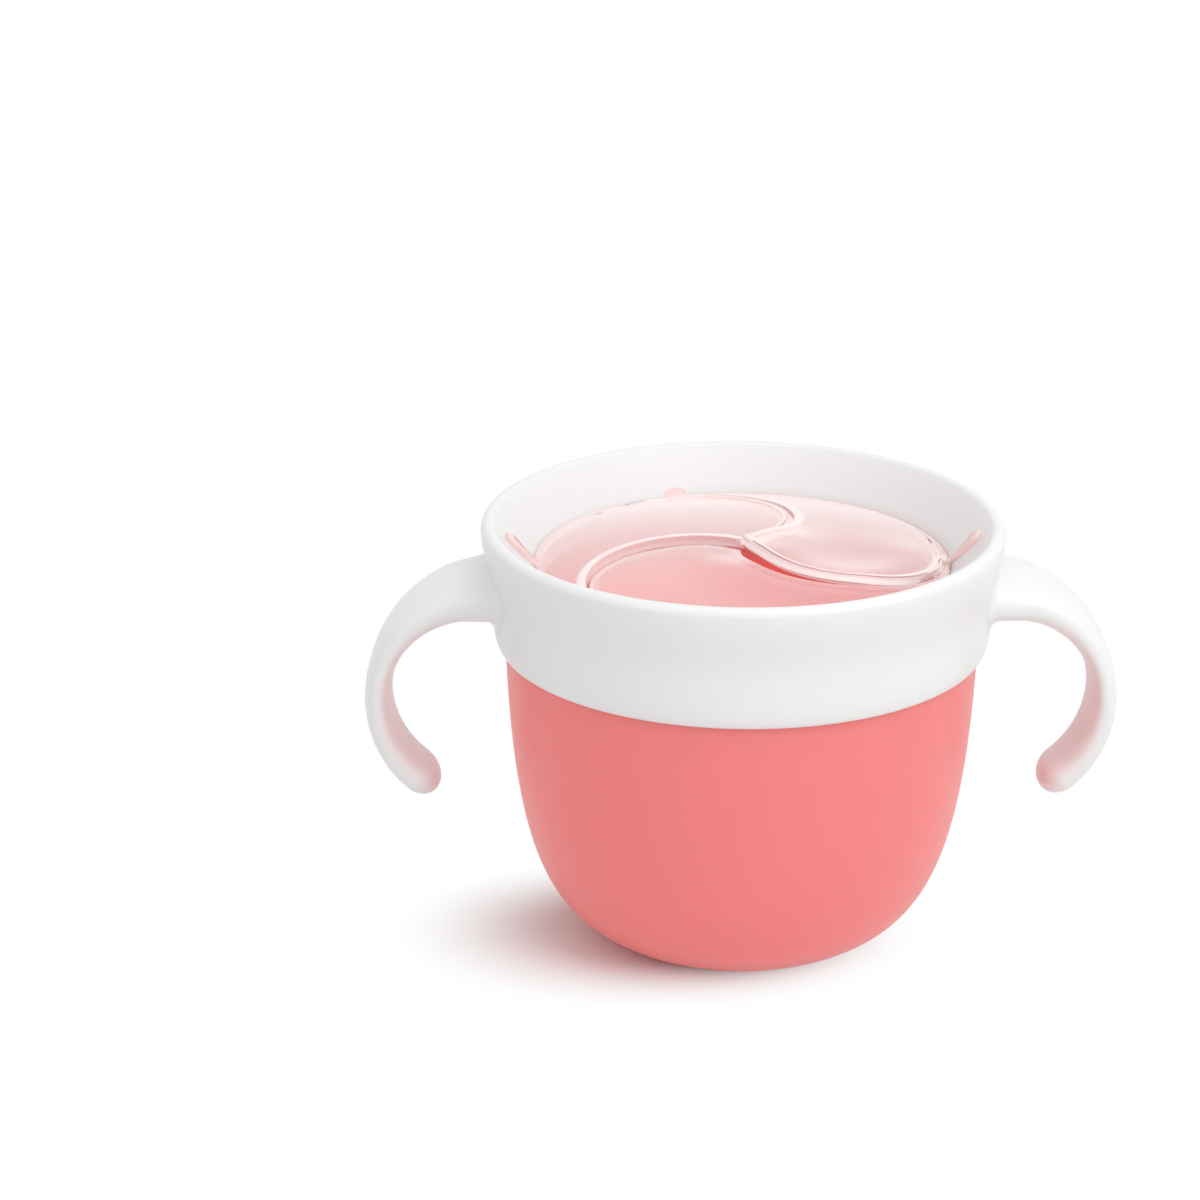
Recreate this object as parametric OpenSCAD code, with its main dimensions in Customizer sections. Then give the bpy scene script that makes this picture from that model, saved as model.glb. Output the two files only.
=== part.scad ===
// Snack cup for a toddler: a round bowl, a white collar with a funnel rim and two open
// handles, and a soft clear lid that is slit into three round flaps.
// The origin is the centre of the cup's foot, +Z is up and the handles lie along X.

/* [Whole] */
// Height of the closed cup from the table to the top of the lip
overall_h = 80; // [74:0.5:92]

/* [Cup] */
// Outer diameter of the cup's neck
cup_d = 87.5; // [80:0.5:96]
// Height at which the bowl's curve runs out into the straight neck
bowl_h = 59.2; // [52:0.2:60]
// Diameter of the flat foot that the cup stands on
foot_d = 48.4; // [40:0.2:56]
// Wall of the cup
cup_wall = 1.8; // [1.4:0.1:2.4]
// Depth of the shallow hollow under the foot
foot_hollow = 0.5; // [0.3:0.1:0.8]

/* [Collar] */
// Height of the collar from the edge of its skirt to the top of the lip
collar_h = 23.2; // [21:0.2:26]
// Wall of the collar's skirt
skirt_wall = 1.7; // [1.4:0.1:2.4]
// Height over which the skirt rounds in to its lower edge
skirt_round = 4.2; // [2:0.2:6]
// How far the lip stands out past the skirt
lip_over = 2.2; // [1:0.1:4]
// Radius of the rolled lip
lip_round = 2; // [1.4:0.1:2.6]
// Width of the funnel, from the skirt's outside in to the lid
funnel_w = 7.5; // [6:0.1:9]
// Depth of the funnel, from the top of the lip down to the lid
funnel_drop = 7.95; // [6:0.05:9]
// Wall of the funnel
funnel_wall = 1.6; // [1.2:0.1:2]
// Gap between the cup's neck and the skirt
neck_gap = 0.35; // [0.3:0.05:0.5]
// Running gap between the snap rib and the cup's neck
snap_gap = 0.05; // [0.03:0.01:0.09]
// Depth of the groove round the cup's neck that the snap rib lies in
snap_depth = 0.4; // [0.3:0.05:0.6]

/* [Handles] */
// Radius of the handle's centre line
handle_r = 20.8; // [18:0.2:24]
// Height of the centre of the handle's curve
handle_z = 46; // [44:0.5:48]
// Angle below the horizontal at which the handle ends
handle_end = 62; // [40:1:75]
// Thickness of the handle at the collar
handle_root_t = 10.4; // [8:0.2:12]
// Thickness of the handle at its middle
handle_mid_t = 4.8; // [4:0.2:7]
// Thickness of the handle near its tip
handle_tip_t = 7; // [5:0.2:8]
// Width of the handle at the collar
handle_root_w = 25; // [18:0.5:28]
// Width of the handle at its middle
handle_mid_w = 16; // [12:0.5:20]
// Width of the handle near its tip
handle_tip_w = 13; // [10:0.5:16]

/* [Lid] */
// Thickness of the soft lid
lid_t = 1; // [0.8:0.1:1.4]
// How far the lid domes up at its middle
dome_rise = 3.4; // [1.5:0.1:4]
// Width of the curved slits between the flaps
slit_w = 0.9; // [0.7:0.05:1.4]
// Distance that the slits stop short of the funnel's edge
slit_end = 1.5; // [1.2:0.1:2.5]
// Width of the thick bead along each slit
bead_w = 1.7; // [1.2:0.1:2.4]
// How far the bead stands out of each side of the lid
bead_h = 0.5; // [0.3:0.05:0.7]
// Diameter of the round hinge edge of a flap
hinge_d = 1.6; // [1.4:0.1:2]
// Gap between a flap's hinge edge and the lid
hinge_gap = 0.25; // [0.2:0.05:0.4]
// Thickness of the sealing flange under the funnel
flange_t = 1.2; // [0.9:0.1:1.6]
// Gap between pieces that rest against each other
seat_gap = 0.3; // [0.2:0.05:0.4]
// Gap round the flange and its lugs, where they lie in the collar
lug_gap = 0.12; // [0.08:0.01:0.2]
// Radius of the round head of a lug
lug_r = 1.6; // [1.3:0.05:1.8]
// Width of the flat tab at the back of the lid
tab_w = 4.2; // [3:0.1:6]
// How far the tab reaches out from the lid's edge
tab_reach = 0.9; // [0.6:0.05:1.2]
// Direction of the end of the first slit
pinwheel_turn = -3; // [-30:1:30]

/* [Hidden] */
$fn = 120;
EPS = 0.01;
BIG = 200;

// Directions of the lugs and of the tab, counted from the right-hand handle
LUG_TURNS = [-3, 184];
TAB_TURN = 107;

cup_r = cup_d / 2;
foot_r = foot_d / 2;
bore_r = cup_r + neck_gap;
skirt_r = bore_r + skirt_wall;
skirt_z = overall_h - collar_h;
lip_r = skirt_r + lip_over;
lid_r = skirt_r - funnel_w;
lid_z = overall_h - funnel_drop;

// The funnel runs straight from the lid's edge to where it meets the lip's round
lip_c = [lip_r - lip_round, overall_h - lip_round];
to_lip = lip_c - [lid_r, lid_z];
slope = atan2(to_lip[1], to_lip[0]) + asin(lip_round / norm(to_lip));
function cone_z(r, below) = lid_z + (r - lid_r) * tan(slope) - below / cos(slope);

// Snap rib and groove, a little above the rounded edge of the skirt
snap_z = skirt_z + skirt_round + 2;
snap_h = 0.7;

// The flange lies under the funnel, and the cup's rim comes up to just below it
flange_r = cup_r - 0.25;
flange_top = funnel_wall + lug_gap;
lug_head = lid_r + 0.55 * (bore_r - lid_r);
lug_neck = lug_r * 0.5;
flange_low = flange_top + flange_t;
rim_round = cup_wall / 2;
rim_c = [cup_r - rim_round, cone_z(cup_r - rim_round, flange_low + seat_gap + rim_round)];
web_r = lid_r - lug_gap;
web_in = web_r - 1.3;

// Each slit is half a circle that runs from the middle of the lid to its edge
lobe_r = (lid_r - slit_end) / 2;
lobe_d = 2 * lobe_r;
// A flap folds along the line from its slit's end towards the middle of the next circle
next_c = lobe_r * [cos(120), sin(120)];
fold_turn = atan2(next_c[1], next_c[0] - lobe_d);
fold_len = norm(next_c - [lobe_d, 0]) - lobe_r;
fold_n = [cos(fold_turn - 90), sin(fold_turn - 90)];
fold_off = lobe_d * fold_n[0];
fold_in = [lobe_d + fold_len * cos(fold_turn), fold_len * sin(fold_turn)];

function dome_z(r, below) = lid_z + dome_rise * (1 - pow(r / lid_r, 2)) - below;

// The hinge line follows the lid's mid surface, half way up the bulge between its ends
fold_bulge = dome_rise * pow(fold_len / lid_r, 2) / 8;
fold_z0 = dome_z(lobe_d, lid_t / 2) + fold_bulge;
fold_z1 = dome_z(norm(fold_in), lid_t / 2) + fold_bulge;
fold_tilt = atan2(fold_z1 - fold_z0, fold_len);
hinge_clear = hinge_d / 2 + hinge_gap;
bead_clear = hinge_clear + 1.2;

function mix(a, b, t) = a + (b - a) * t;
function smooth(t) = t * t * (3 - 2 * t);
function bezier(p, t) = pow(1 - t, 3) * p[0] + 3 * pow(1 - t, 2) * t * p[1]
    + 3 * (1 - t) * t * t * p[2] + pow(t, 3) * p[3];
function bezier_run(p, t) = pow(1 - t, 2) * (p[1] - p[0]) + 2 * (1 - t) * t * (p[2] - p[1])
    + t * t * (p[3] - p[2]);

// Side of the bowl, full near the foot and nearly straight above
bowl = [
    [foot_r, 0],
    [foot_r + 0.54 * (cup_r - foot_r), 0.081 * bowl_h],
    [cup_r - 0.053 * (cup_r - foot_r), 0.2 * bowl_h],
    [cup_r, bowl_h]
];
function bowl_in(t) =
    let (d = bezier_run(bowl, t) / norm(bezier_run(bowl, t)))
    bezier(bowl, t) + cup_wall * [-d[1], d[0]];

module cup() {
    steps = 24;
    groove_h = snap_h + 0.8;
    color("#f98a8a")
    difference() {
        rotate_extrude()
        polygon(concat(
            [[0, 0]],
            [for (i = [0 : steps]) bezier(bowl, i / steps)],
            [
                [cup_r, snap_z - groove_h / 2 - snap_depth],
                [cup_r - snap_depth, snap_z - groove_h / 2],
                [cup_r - snap_depth, snap_z + groove_h / 2],
                [cup_r, snap_z + groove_h / 2 + snap_depth]
            ],
            [for (a = [0 : 20 : 180]) rim_c + rim_round * [cos(a), sin(a)]],
            [for (i = [steps : -1 : 0]) bowl_in(i / steps)],
            [[0, bowl_in(0)[1]]]
        ));
        translate([0, 0, -EPS])
        cylinder(r = foot_r - 4, h = foot_hollow + EPS);
    }
}

// Outline of a lug: a round head that narrows to a neck at the lid's edge
module lug_outline(grow) {
    translate([lug_head, 0])
    circle(r = lug_r + grow, $fn = 40);
    polygon([
        [lid_r - 1, -lug_neck - grow],
        [lid_r + 0.8, -lug_neck - grow],
        [lug_head, -lug_r - grow],
        [lug_head, lug_r + grow],
        [lid_r + 0.8, lug_neck + grow],
        [lid_r - 1, lug_neck + grow]
    ]);
}

module tab_outline(grow) {
    translate([lid_r - 1, -tab_w / 2 - grow])
    square([1 + tab_reach + grow, tab_w + 2 * grow]);
}

module lugs_outline(grow) {
    for (a = LUG_TURNS)
        rotate(a)
        lug_outline(grow);
    rotate(TAB_TURN)
    tab_outline(grow);
}

// A lug's head and neck stand out of the funnel as a rounded drop
module lug_drop() {
    translate([lug_head, 0, cone_z(lug_head, 0)])
    sphere(r = lug_r * 0.9);
    translate([lid_r, 0, lid_z])
    rotate([0, 90 - slope, 0])
    cylinder(r1 = lug_neck * 0.62, r2 = lug_r * 0.78, h = (lug_head - lid_r) / cos(slope));
}

// Handle: one strap swept round an arc, thin in the middle and thicker at both ends
HANDLE_RINGS = 26;
HANDLE_SIDES = 20;
handle_x = skirt_r + 0.8;
handle_a0 = acos((bore_r - 0.8 - handle_x) / handle_r);
handle_arc = handle_a0 + handle_end;
handle_len = handle_r * handle_arc * PI / 180;
tip_len = 5;

// Half size of the strap, from its root through its middle to its tip
function strap(root, mid, tip, t) = t < 0.5
    ? mix(mid, root, pow(1 - 2 * t, 1.3)) / 2
    : mix(mid, tip, pow(2 * t - 1, 1.5)) / 2;
function tip_k(t) =
    let (q = max(0, (t - 1) * handle_len / tip_len + 1))
    sqrt(max(0.02, 1 - q * q));
function soft(v) = sign(v) * pow(abs(v), 0.84);
// Rings lie closer together towards the tip, which rounds off
function ring_t(i) = 1 - pow(1 - i / HANDLE_RINGS, 1.5);
function handle_point(i, j) =
    let (
        t = ring_t(i),
        turn = handle_a0 - handle_arc * t,
        side = 360 * j / HANDLE_SIDES,
        k = tip_k(t),
        out = handle_r + k * soft(cos(side)) * strap(handle_root_t, handle_mid_t, handle_tip_t, t)
    )
    [
        handle_x + out * cos(turn),
        k * soft(sin(side)) * strap(handle_root_w, handle_mid_w, handle_tip_w, t),
        handle_z + out * sin(turn)
    ];

module handle() {
    n = HANDLE_SIDES;
    last = HANDLE_RINGS * n;
    polyhedron(
        points = [for (i = [0 : HANDLE_RINGS], j = [0 : n - 1]) handle_point(i, j)],
        faces = concat(
            [for (i = [0 : HANDLE_RINGS - 1], j = [0 : n - 1], half = [0, 1])
                let (a = i * n + j, b = i * n + (j + 1) % n)
                half == 0 ? [a, b, a + n] : [b, b + n, a + n]],
            [[for (j = [n - 1 : -1 : 0]) j]],
            [[for (j = [0 : n - 1]) last + j]]
        )
    );
}

// Outside of the collar: skirt, flare and rolled lip, closed across at the lip
module collar_outside() {
    flare_z = skirt_z + 0.4 * collar_h;
    edge = bore_r + 0.35;
    turn = 90 + slope;
    rotate_extrude()
    polygon(concat(
        [[0, skirt_z]],
        [for (a = [0 : 15 : 90])
            [edge + (skirt_r - edge) * sin(a), skirt_z + skirt_round * (1 - cos(a))]],
        [for (i = [0 : 8])
            [mix(skirt_r, lip_r, smooth(i / 8)), mix(flare_z, lip_c[1], i / 8)]],
        [for (i = [1 : 12])
            lip_c + lip_round * [cos(turn * i / 12), sin(turn * i / 12)]],
        [[0, lip_c[1] + lip_round * sin(turn)]]
    ));
}

// Inside of the collar: the bore with its snap rib, the hole for the lid and the funnel
module collar_inside() {
    top_r = lip_c[0];
    rotate_extrude()
    polygon([
        [0, skirt_z - 1],
        [bore_r, skirt_z - 1],
        [bore_r, snap_z - snap_h],
        [cup_r + snap_gap, snap_z - snap_h / 2],
        [cup_r + snap_gap, snap_z + snap_h / 2],
        [bore_r, snap_z + snap_h],
        [bore_r, cone_z(bore_r, funnel_wall)],
        [lid_r, cone_z(lid_r, funnel_wall)],
        [lid_r, lid_z],
        [top_r, cone_z(top_r, 0)],
        [0, cone_z(top_r, 0)]
    ]);
}

module collar() {
    color("white")
    difference() {
        union() {
            collar_outside();
            handle();
            rotate(180)
            handle();
        }
        collar_inside();
        translate([0, 0, lid_z - 4])
        linear_extrude(funnel_drop + 2)
        lugs_outline(lug_gap);
    }
}

// Round slab that follows the dome, from one depth below its top to another
module dome_slab(top, low) {
    steps = 8;
    r = lid_r - 0.5;
    rotate_extrude()
    polygon(concat(
        [for (i = [0 : steps]) [r * i / steps, dome_z(r * i / steps, low)]],
        [for (i = [steps : -1 : 0]) [r * i / steps, dome_z(r * i / steps, top)]]
    ));
}

module on_dome(top, low) {
    intersection() {
        dome_slab(top, low);
        translate([0, 0, lid_z - 10])
        linear_extrude(30)
        children();
    }
}

// Circle that a slit follows, grown to one side of the slit
module lobe(k, grow) {
    rotate(120 * k)
    translate([lobe_r, 0])
    circle(r = lobe_r + grow);
}

// All that lies on the free side of a flap's fold line, out to a distance past it
module free_side(k, past) {
    rotate(120 * k + fold_turn - 90)
    translate([fold_off + past - BIG, -BIG / 2])
    square([BIG, BIG]);
}

module flap_outline() {
    difference() {
        intersection() {
            lobe(0, -slit_w / 2);
            free_side(0, -hinge_gap);
        }
        lobe(1, slit_w / 2);
    }
}

module flap_bead() {
    intersection() {
        flap_outline();
        free_side(0, -bead_clear);
        union() {
            difference() {
                square(BIG, center = true);
                lobe(0, -slit_w / 2 - bead_w);
            }
            lobe(1, slit_w / 2 + bead_w);
        }
    }
}

module hinge_edge() {
    translate([lobe_d, 0, fold_z0])
    rotate([0, 90 - fold_tilt, fold_turn])
    translate([0, 0, 1.8])
    cylinder(d = hinge_d, h = fold_len / cos(fold_tilt) - 3, $fn = 32);
}

module flap(k) {
    color("mistyrose", 0.6)
    rotate(pinwheel_turn + 120 * k) {
        on_dome(0, lid_t)
        flap_outline();
        on_dome(-bead_h, lid_t + bead_h)
        flap_bead();
        hinge_edge();
    }
}

module flap_holes() {
    for (k = [0 : 2])
        intersection() {
            lobe(k, slit_w / 2);
            free_side(k, hinge_clear);
        }
}

// Bead of the lid's own side of the slits, kept clear of the flaps' hinge edges
module frame_bead() {
    for (k = [0 : 2])
        difference() {
            lobe(k, slit_w / 2 + bead_w);
            flap_holes();
            free_side(k - 1, bead_clear + 0.6);
            difference() {
                circle(r = BIG);
                free_side(k, -bead_clear);
            }
        }
}

module lid_frame() {
    color("mistyrose", 0.6) {
        rotate_extrude()
        polygon([
            [web_r, lid_z],
            [web_r, cone_z(web_r, flange_top)],
            [flange_r, cone_z(flange_r, flange_top)],
            [flange_r, cone_z(flange_r, flange_low)],
            [web_r, cone_z(web_r, flange_low)],
            [web_in, cone_z(web_r, flange_low)],
            [web_in, dome_z(web_in, 0)]
        ]);
        rotate(pinwheel_turn) {
            on_dome(0, lid_t)
            difference() {
                circle(r = lid_r - 0.6);
                flap_holes();
            }
            on_dome(-bead_h, lid_t + bead_h)
            intersection() {
                circle(r = web_in + 0.3);
                frame_bead();
            }
        }
        intersection() {
            rotate_extrude()
            polygon([
                [web_r - 0.5, cone_z(web_r - 0.5, 0.1)],
                [web_r - 0.5, cone_z(web_r - 0.5, flange_top + 0.3)],
                [flange_r, cone_z(flange_r, flange_top + 0.3)],
                [flange_r, cone_z(flange_r, 0.1)]
            ]);
            translate([0, 0, lid_z - 5])
            linear_extrude(20)
            lugs_outline(0);
        }
        for (a = LUG_TURNS)
            rotate(a)
            lug_drop();
    }
}

module front_flap() { flap(-1); }
module right_flap() { flap(0); }
module left_flap() { flap(1); }

cup();
collar();
lid_frame();
front_flap();
right_flap();
left_flap();
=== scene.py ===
import math

import bmesh
import bpy
from bpy.props import FloatProperty, FloatVectorProperty, IntProperty, PointerProperty
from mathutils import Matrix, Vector


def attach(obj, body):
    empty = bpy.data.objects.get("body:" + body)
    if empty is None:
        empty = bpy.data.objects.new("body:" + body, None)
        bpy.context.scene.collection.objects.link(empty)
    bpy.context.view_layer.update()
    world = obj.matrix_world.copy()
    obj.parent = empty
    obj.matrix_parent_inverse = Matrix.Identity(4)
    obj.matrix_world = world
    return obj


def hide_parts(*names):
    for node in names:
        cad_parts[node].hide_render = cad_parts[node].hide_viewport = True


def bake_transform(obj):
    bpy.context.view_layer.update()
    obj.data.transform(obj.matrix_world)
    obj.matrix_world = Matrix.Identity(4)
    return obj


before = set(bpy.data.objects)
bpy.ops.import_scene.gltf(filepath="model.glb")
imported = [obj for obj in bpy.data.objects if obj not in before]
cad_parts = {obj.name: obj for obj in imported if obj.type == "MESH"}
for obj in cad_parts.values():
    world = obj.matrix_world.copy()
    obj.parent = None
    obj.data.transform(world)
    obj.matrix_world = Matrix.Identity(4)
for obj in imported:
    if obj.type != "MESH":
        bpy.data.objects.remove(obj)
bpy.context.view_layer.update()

bl_info = {
    "name": "Snack Cup Builder",
    "version": (1, 0, 0),
    "blender": (4, 5, 0),
    "location": "3D View > Sidebar > Snack Cup",
    "description": "Models a toddler's snack cup with a two-handled collar and a soft slit lid",
    "category": "Add Mesh",
}

MM = 0.001
LATHE_STEPS = 160
THIRD_TURN = 2 * math.pi / 3
# Turn of each blade from the right one, in thirds of a turn
BLADE_THIRD = {"front": -1, "right": 0, "left": 1}


# Settings


def length(name, description, millimetres):
    return FloatProperty(
        name=name,
        description=description,
        default=millimetres * MM,
        unit="LENGTH",
        subtype="DISTANCE",
    )


def angle(name, description, degrees):
    return FloatProperty(
        name=name,
        description=description,
        default=math.radians(degrees),
        unit="ROTATION",
        subtype="ANGLE",
    )


def power(name, description, watts):
    return FloatProperty(name=name, description=description, default=watts, unit="POWER")


def colour(name, description, rgb):
    return FloatVectorProperty(
        name=name, description=description, default=rgb, size=3, min=0, max=1, subtype="COLOR"
    )


class CupSettings(bpy.types.PropertyGroup):
    """Sizes and colour of the coral bowl"""

    neck_radius: length("Neck radius", "Outer radius of the straight neck", 43.75)
    foot_radius: length("Foot radius", "Radius of the flat foot", 24.2)
    bowl_height: length("Bowl height", "Height where the bowl's curve runs into the neck", 59.2)
    wall: length("Wall", "Thickness of the bowl's wall", 1.8)
    rim_height: length("Rim height", "Top of the bowl, under the lid's flange", 71.94)
    foot_hollow: length("Foot hollow", "Depth of the hollow under the foot", 0.5)
    colour: colour("Colour", "Coral plastic of the bowl", (1.0, 0.258, 0.252))


class CollarSettings(bpy.types.PropertyGroup):
    """Sizes and colour of the white collar"""

    top: length("Top", "Height of the top of the lip", 80)
    height: length("Height", "From the skirt's edge to the top of the lip", 23.2)
    bore_radius: length("Bore radius", "Inner radius of the skirt", 44.1)
    skirt_radius: length("Skirt radius", "Outer radius of the skirt", 45.8)
    skirt_round: length("Skirt round", "Height of the rounding at the skirt's edge", 4.2)
    lip_radius: length("Lip radius", "Outer radius of the rolled lip", 48)
    lip_round: length("Lip round", "Radius of the lip's roll", 1.5)
    lid_radius: length("Lid radius", "Radius of the hole for the lid", 38.3)
    lid_height: length("Lid height", "Height of the edge of the lid", 72.05)
    funnel_wall: length("Funnel wall", "Thickness of the funnel", 1.6)
    fillet: length("Fillet", "Rounding where a handle meets the skirt", 1.8)
    colour: colour("Colour", "White plastic of the collar", (0.825, 0.83, 0.83))


class HandleSettings(bpy.types.PropertyGroup):
    """Sizes of the two open handles"""

    curve_radius: length("Curve radius", "Radius of the handle's centre line", 20.8)
    centre_x: length("Centre", "Distance of the curve's centre from the cup's axis", 46.6)
    centre_z: length("Centre height", "Height of the curve's centre", 46)
    end: angle("End", "Angle below the horizontal at which the handle ends", 62)
    root_thickness: length("Root thickness", "Thickness at the collar", 10.4)
    middle_thickness: length("Middle thickness", "Thickness at the middle", 4.8)
    tip_thickness: length("Tip thickness", "Thickness near the tip", 7)
    root_width: length("Root width", "Width at the collar", 25)
    middle_width: length("Middle width", "Width at the middle", 16)
    tip_width: length("Tip width", "Width near the tip", 13)
    tip_length: length("Tip length", "Length over which the tip rounds off", 5)


class LidSettings(bpy.types.PropertyGroup):
    """Sizes and colour of the soft clear lid"""

    thickness: length("Thickness", "Thickness of the soft lid", 1)
    dome: length("Dome", "How far the lid domes up at its middle", 3.4)
    slit: length("Slit", "Width of the curved slits", 0.7)
    slit_end: length("Slit end", "Distance of the slits' ends from the lid's edge", 1.5)
    bead_width: length("Bead width", "Width of the bead along a slit", 1.7)
    bead_height: length("Bead height", "How far a bead stands out of each side", 0.45)
    lug_radius: length("Lug radius", "Radius of a lug's round head", 1.6)
    tab_width: length("Tab width", "Width of the flat tab at the back", 4.2)
    tab_reach: length("Tab reach", "How far the tab reaches out from the lid's edge", 0.9)
    gap: length("Gap", "Gap between the lid's edge and the collar", 0.12)
    turn: angle("Turn", "Direction of the end of the right flap's slit", -3)
    lift: length("Lift", "How far the right flap's tip has set upwards", 1.3)
    sag: length("Sag", "How much less the front flap bulges", 1.5)
    ridge: length("Ridge", "How far the front and right flaps have set upwards at their slit", 1.6)
    # The lid's pink colour is a painted tint: it stands for the coral light that the clear lid
    # picks up from the bowl
    colour: colour("Colour", "Clear soft lid", (0.995, 0.83, 0.815))


class StudioSettings(bpy.types.PropertyGroup):
    """Camera, lights and floor"""

    camera_place: FloatVectorProperty(
        name="Camera place",
        description="Where the camera stands",
        default=(-0.0293, -0.5980, 0.2868),
        subtype="XYZ",
        unit="LENGTH",
    )
    camera_pitch: angle("Camera pitch", "Tilt of the camera from straight down", 69.583)
    camera_yaw: angle("Camera yaw", "Turn of the camera about the vertical", -0.302)
    lens: FloatProperty(name="Lens", description="Focal length on a 36 mm sensor", default=103.61)
    floor_size: length("Floor size", "Side of the square floor", 4000)
    key_power: power("Key power", "Light from the right", 5.0)
    fill_power: power("Fill power", "Light from the left", 0.7)
    top_power: power("Top power", "Light from above", 2.2)
    front_power: power("Front power", "Light from the camera's side", 0.2)
    sky: FloatProperty(name="Sky", description="Strength of the room's own light", default=0.68)


SETTINGS = {
    "snack_bowl": CupSettings,
    "snack_collar": CollarSettings,
    "snack_handles": HandleSettings,
    "snack_lid": LidSettings,
    "snack_studio": StudioSettings,
}


# Modelling by hand


def deselect():
    if bpy.context.object and bpy.context.object.mode != "OBJECT":
        bpy.ops.object.mode_set(mode="OBJECT")
    bpy.ops.object.select_all(action="DESELECT")


def begin(name, place):
    """Starts a mesh as one point, in edit mode."""
    deselect()
    bpy.ops.mesh.primitive_plane_add(size=0.01)
    piece = bpy.context.object
    piece.name = name
    piece.data.name = name
    bpy.ops.object.mode_set(mode="EDIT")
    bpy.ops.mesh.select_all(action="SELECT")
    bpy.ops.mesh.merge(type="CENTER")
    bpy.ops.transform.translate(value=place)
    return piece


def draw(points):
    """Draws on from the selected point, one extrusion for each stretch."""
    for a, b in zip(points, points[1:]):
        step = Vector(b) - Vector(a)
        bpy.ops.mesh.extrude_region_move(TRANSFORM_OT_translate={"value": step})


def place_selected(piece, points):
    """Moves the selected points to their places, in the order in which they were made."""
    mesh = bmesh.from_edit_mesh(piece.data)
    chosen = [v for v in mesh.verts if v.select]
    if len(chosen) != len(points):
        counts = f"{len(chosen)} points are selected, and {len(points)} are to be placed"
        raise RuntimeError(f"{piece.name}: {counts}")
    for v, p in zip(chosen, points):
        v.co = p
    bmesh.update_edit_mesh(piece.data)


def extrude_rows(piece, rows):
    """Extrudes the selected row once for each further row and shapes it."""
    for row in rows:
        bpy.ops.mesh.extrude_region_move(TRANSFORM_OT_translate={"value": (0, 0, MM)})
        place_selected(piece, row)


def close_up(piece, doubles=1e-7):
    """Merges points that meet, turns the faces outwards and leaves edit mode."""
    bpy.ops.mesh.select_all(action="SELECT")
    bpy.ops.mesh.remove_doubles(threshold=doubles)
    bpy.ops.mesh.normals_make_consistent(inside=False)
    bpy.ops.object.mode_set(mode="OBJECT")
    return piece


def lathe(name, outline):
    """Turns an outline of (radius, height) points about the cup's axis."""
    points = [Vector((r, 0, z)) for r, z in outline]
    piece = begin(name, points[0])
    draw(points)
    bpy.ops.mesh.select_all(action="SELECT")
    bpy.ops.mesh.spin(
        steps=LATHE_STEPS, angle=2 * math.pi, center=(0, 0, 0), axis=(0, 0, 1)
    )
    return close_up(piece, 1e-6)


def pick(piece, *others):
    """Selects pieces in object mode and makes the first one active."""
    deselect()
    for each in (piece, *others):
        each.select_set(True)
    bpy.context.view_layer.objects.active = piece


def smooth(piece, degrees):
    pick(piece)
    bpy.ops.object.shade_smooth_by_angle(angle=math.radians(degrees))


def apply_modifier(piece, kind, **values):
    pick(piece)
    bpy.ops.object.modifier_add(type=kind)
    modifier = piece.modifiers[-1]
    for key, value in values.items():
        setattr(modifier, key, value)
    bpy.ops.object.modifier_apply(modifier=modifier.name)


def combine(piece, other, operation):
    """Adds another solid to a piece, or cuts it away, and removes it."""
    apply_modifier(piece, "BOOLEAN", operation=operation, object=other, solver="MANIFOLD")
    bpy.data.objects.remove(other)


def mix(a, b, t):
    return a + (b - a) * t


def ease(t):
    t = min(max(t, 0), 1)
    return t * t * (3 - 2 * t)


def arc(centre, radius, start, end, steps):
    """Points (radius, height) along an arc, with angles in degrees."""
    turns = [math.radians(mix(start, end, i / steps)) for i in range(steps + 1)]
    return [(centre[0] + radius * math.cos(a), centre[1] + radius * math.sin(a)) for a in turns]


# Materials


def add(tree, kind, place, **values):
    node = tree.nodes.new(kind)
    node.location = place
    for key, value in values.items():
        setattr(node, key, value)
    return node


def feed(tree, socket, value):
    """Links an output to a socket, or gives the socket a plain value."""
    if isinstance(value, bpy.types.NodeSocket):
        tree.links.new(value, socket)
    else:
        socket.default_value = value


def maths(tree, operation, place, *terms, **values):
    """Result of a math node whose terms are outputs or numbers."""
    node = add(tree, "ShaderNodeMath", place, operation=operation, **values)
    for socket, term in zip(node.inputs, terms):
        feed(tree, socket, term)
    return node.outputs[0]


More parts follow.
